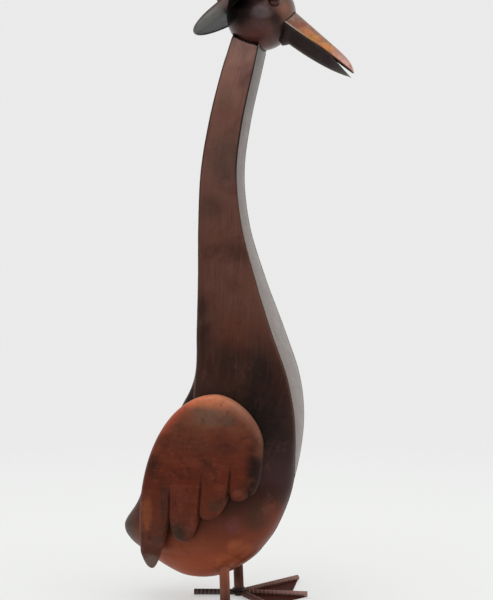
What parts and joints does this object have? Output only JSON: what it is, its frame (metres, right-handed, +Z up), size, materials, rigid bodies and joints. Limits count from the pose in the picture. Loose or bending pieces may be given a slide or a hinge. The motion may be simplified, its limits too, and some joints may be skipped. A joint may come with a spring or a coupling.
{
  "type": "metal duck ornament",
  "caption": "Upright long-necked garden duck in a wide-brimmed hat, welded from domed sheet iron and bar, with pressed wings, a slightly open bill and webbed feet.",
  "frame": {"origin": "on the floor, in the bird's middle plane, between the feet of its two legs", "axes": "+X towards the bill, +Y towards the left wing, +Z up"},
  "size_m": [0.329, 0.2901, 0.9018],
  "materials": {
    "body_patina": "brown rust and bronze patina brushed along the sheet, clear lacquer, semi-gloss",
    "strip_patina": "lighter grey-brown brushed sheet, clear lacquer, semi-gloss",
    "head_patina": "dark brown patina with a violet sheen, clear lacquer, glossy",
    "bill_patina": "orange-brown patina, clear lacquer, semi-gloss",
    "hat_patina": "grey-brown brushed sheet, clear lacquer, semi-gloss",
    "wing_patina": "red-brown mottled rust, clear lacquer, satin",
    "bar_iron": "dark brown bar iron, clear lacquer, satin",
    "web_patina": "dark red-brown sheet, clear lacquer, satin",
    "eye_patina": "dark brown stud, clear lacquer, glossy"
  },
  "bodies": {
    "root": {"body_side_right": "body_patina", "body_side_left": "body_patina", "breast_strip": "strip_patina", "back_strip": "body_patina", "head_ball": "head_patina", "eye_right": "eye_patina", "eye_left": "eye_patina", "bill_upper": "bill_patina", "bill_lower": "bill_patina", "hat_brim": "hat_patina", "hat_crown": "hat_patina", "wing_right": "wing_patina", "wing_left": "wing_patina", "wing_stay_right": "bar_iron", "wing_stay_left": "bar_iron", "leg_right": "bar_iron", "leg_left": "bar_iron", "toe_outer_right": "bar_iron", "toe_middle_right": "bar_iron", "toe_inner_right": "bar_iron", "toe_rear_right": "bar_iron", "web_outer_right": "web_patina", "web_inner_right": "web_patina", "toe_outer_left": "bar_iron", "toe_middle_left": "bar_iron", "toe_inner_left": "bar_iron", "toe_rear_left": "bar_iron", "web_outer_left": "web_patina", "web_inner_left": "web_patina"}
  },
  "joints": []
}
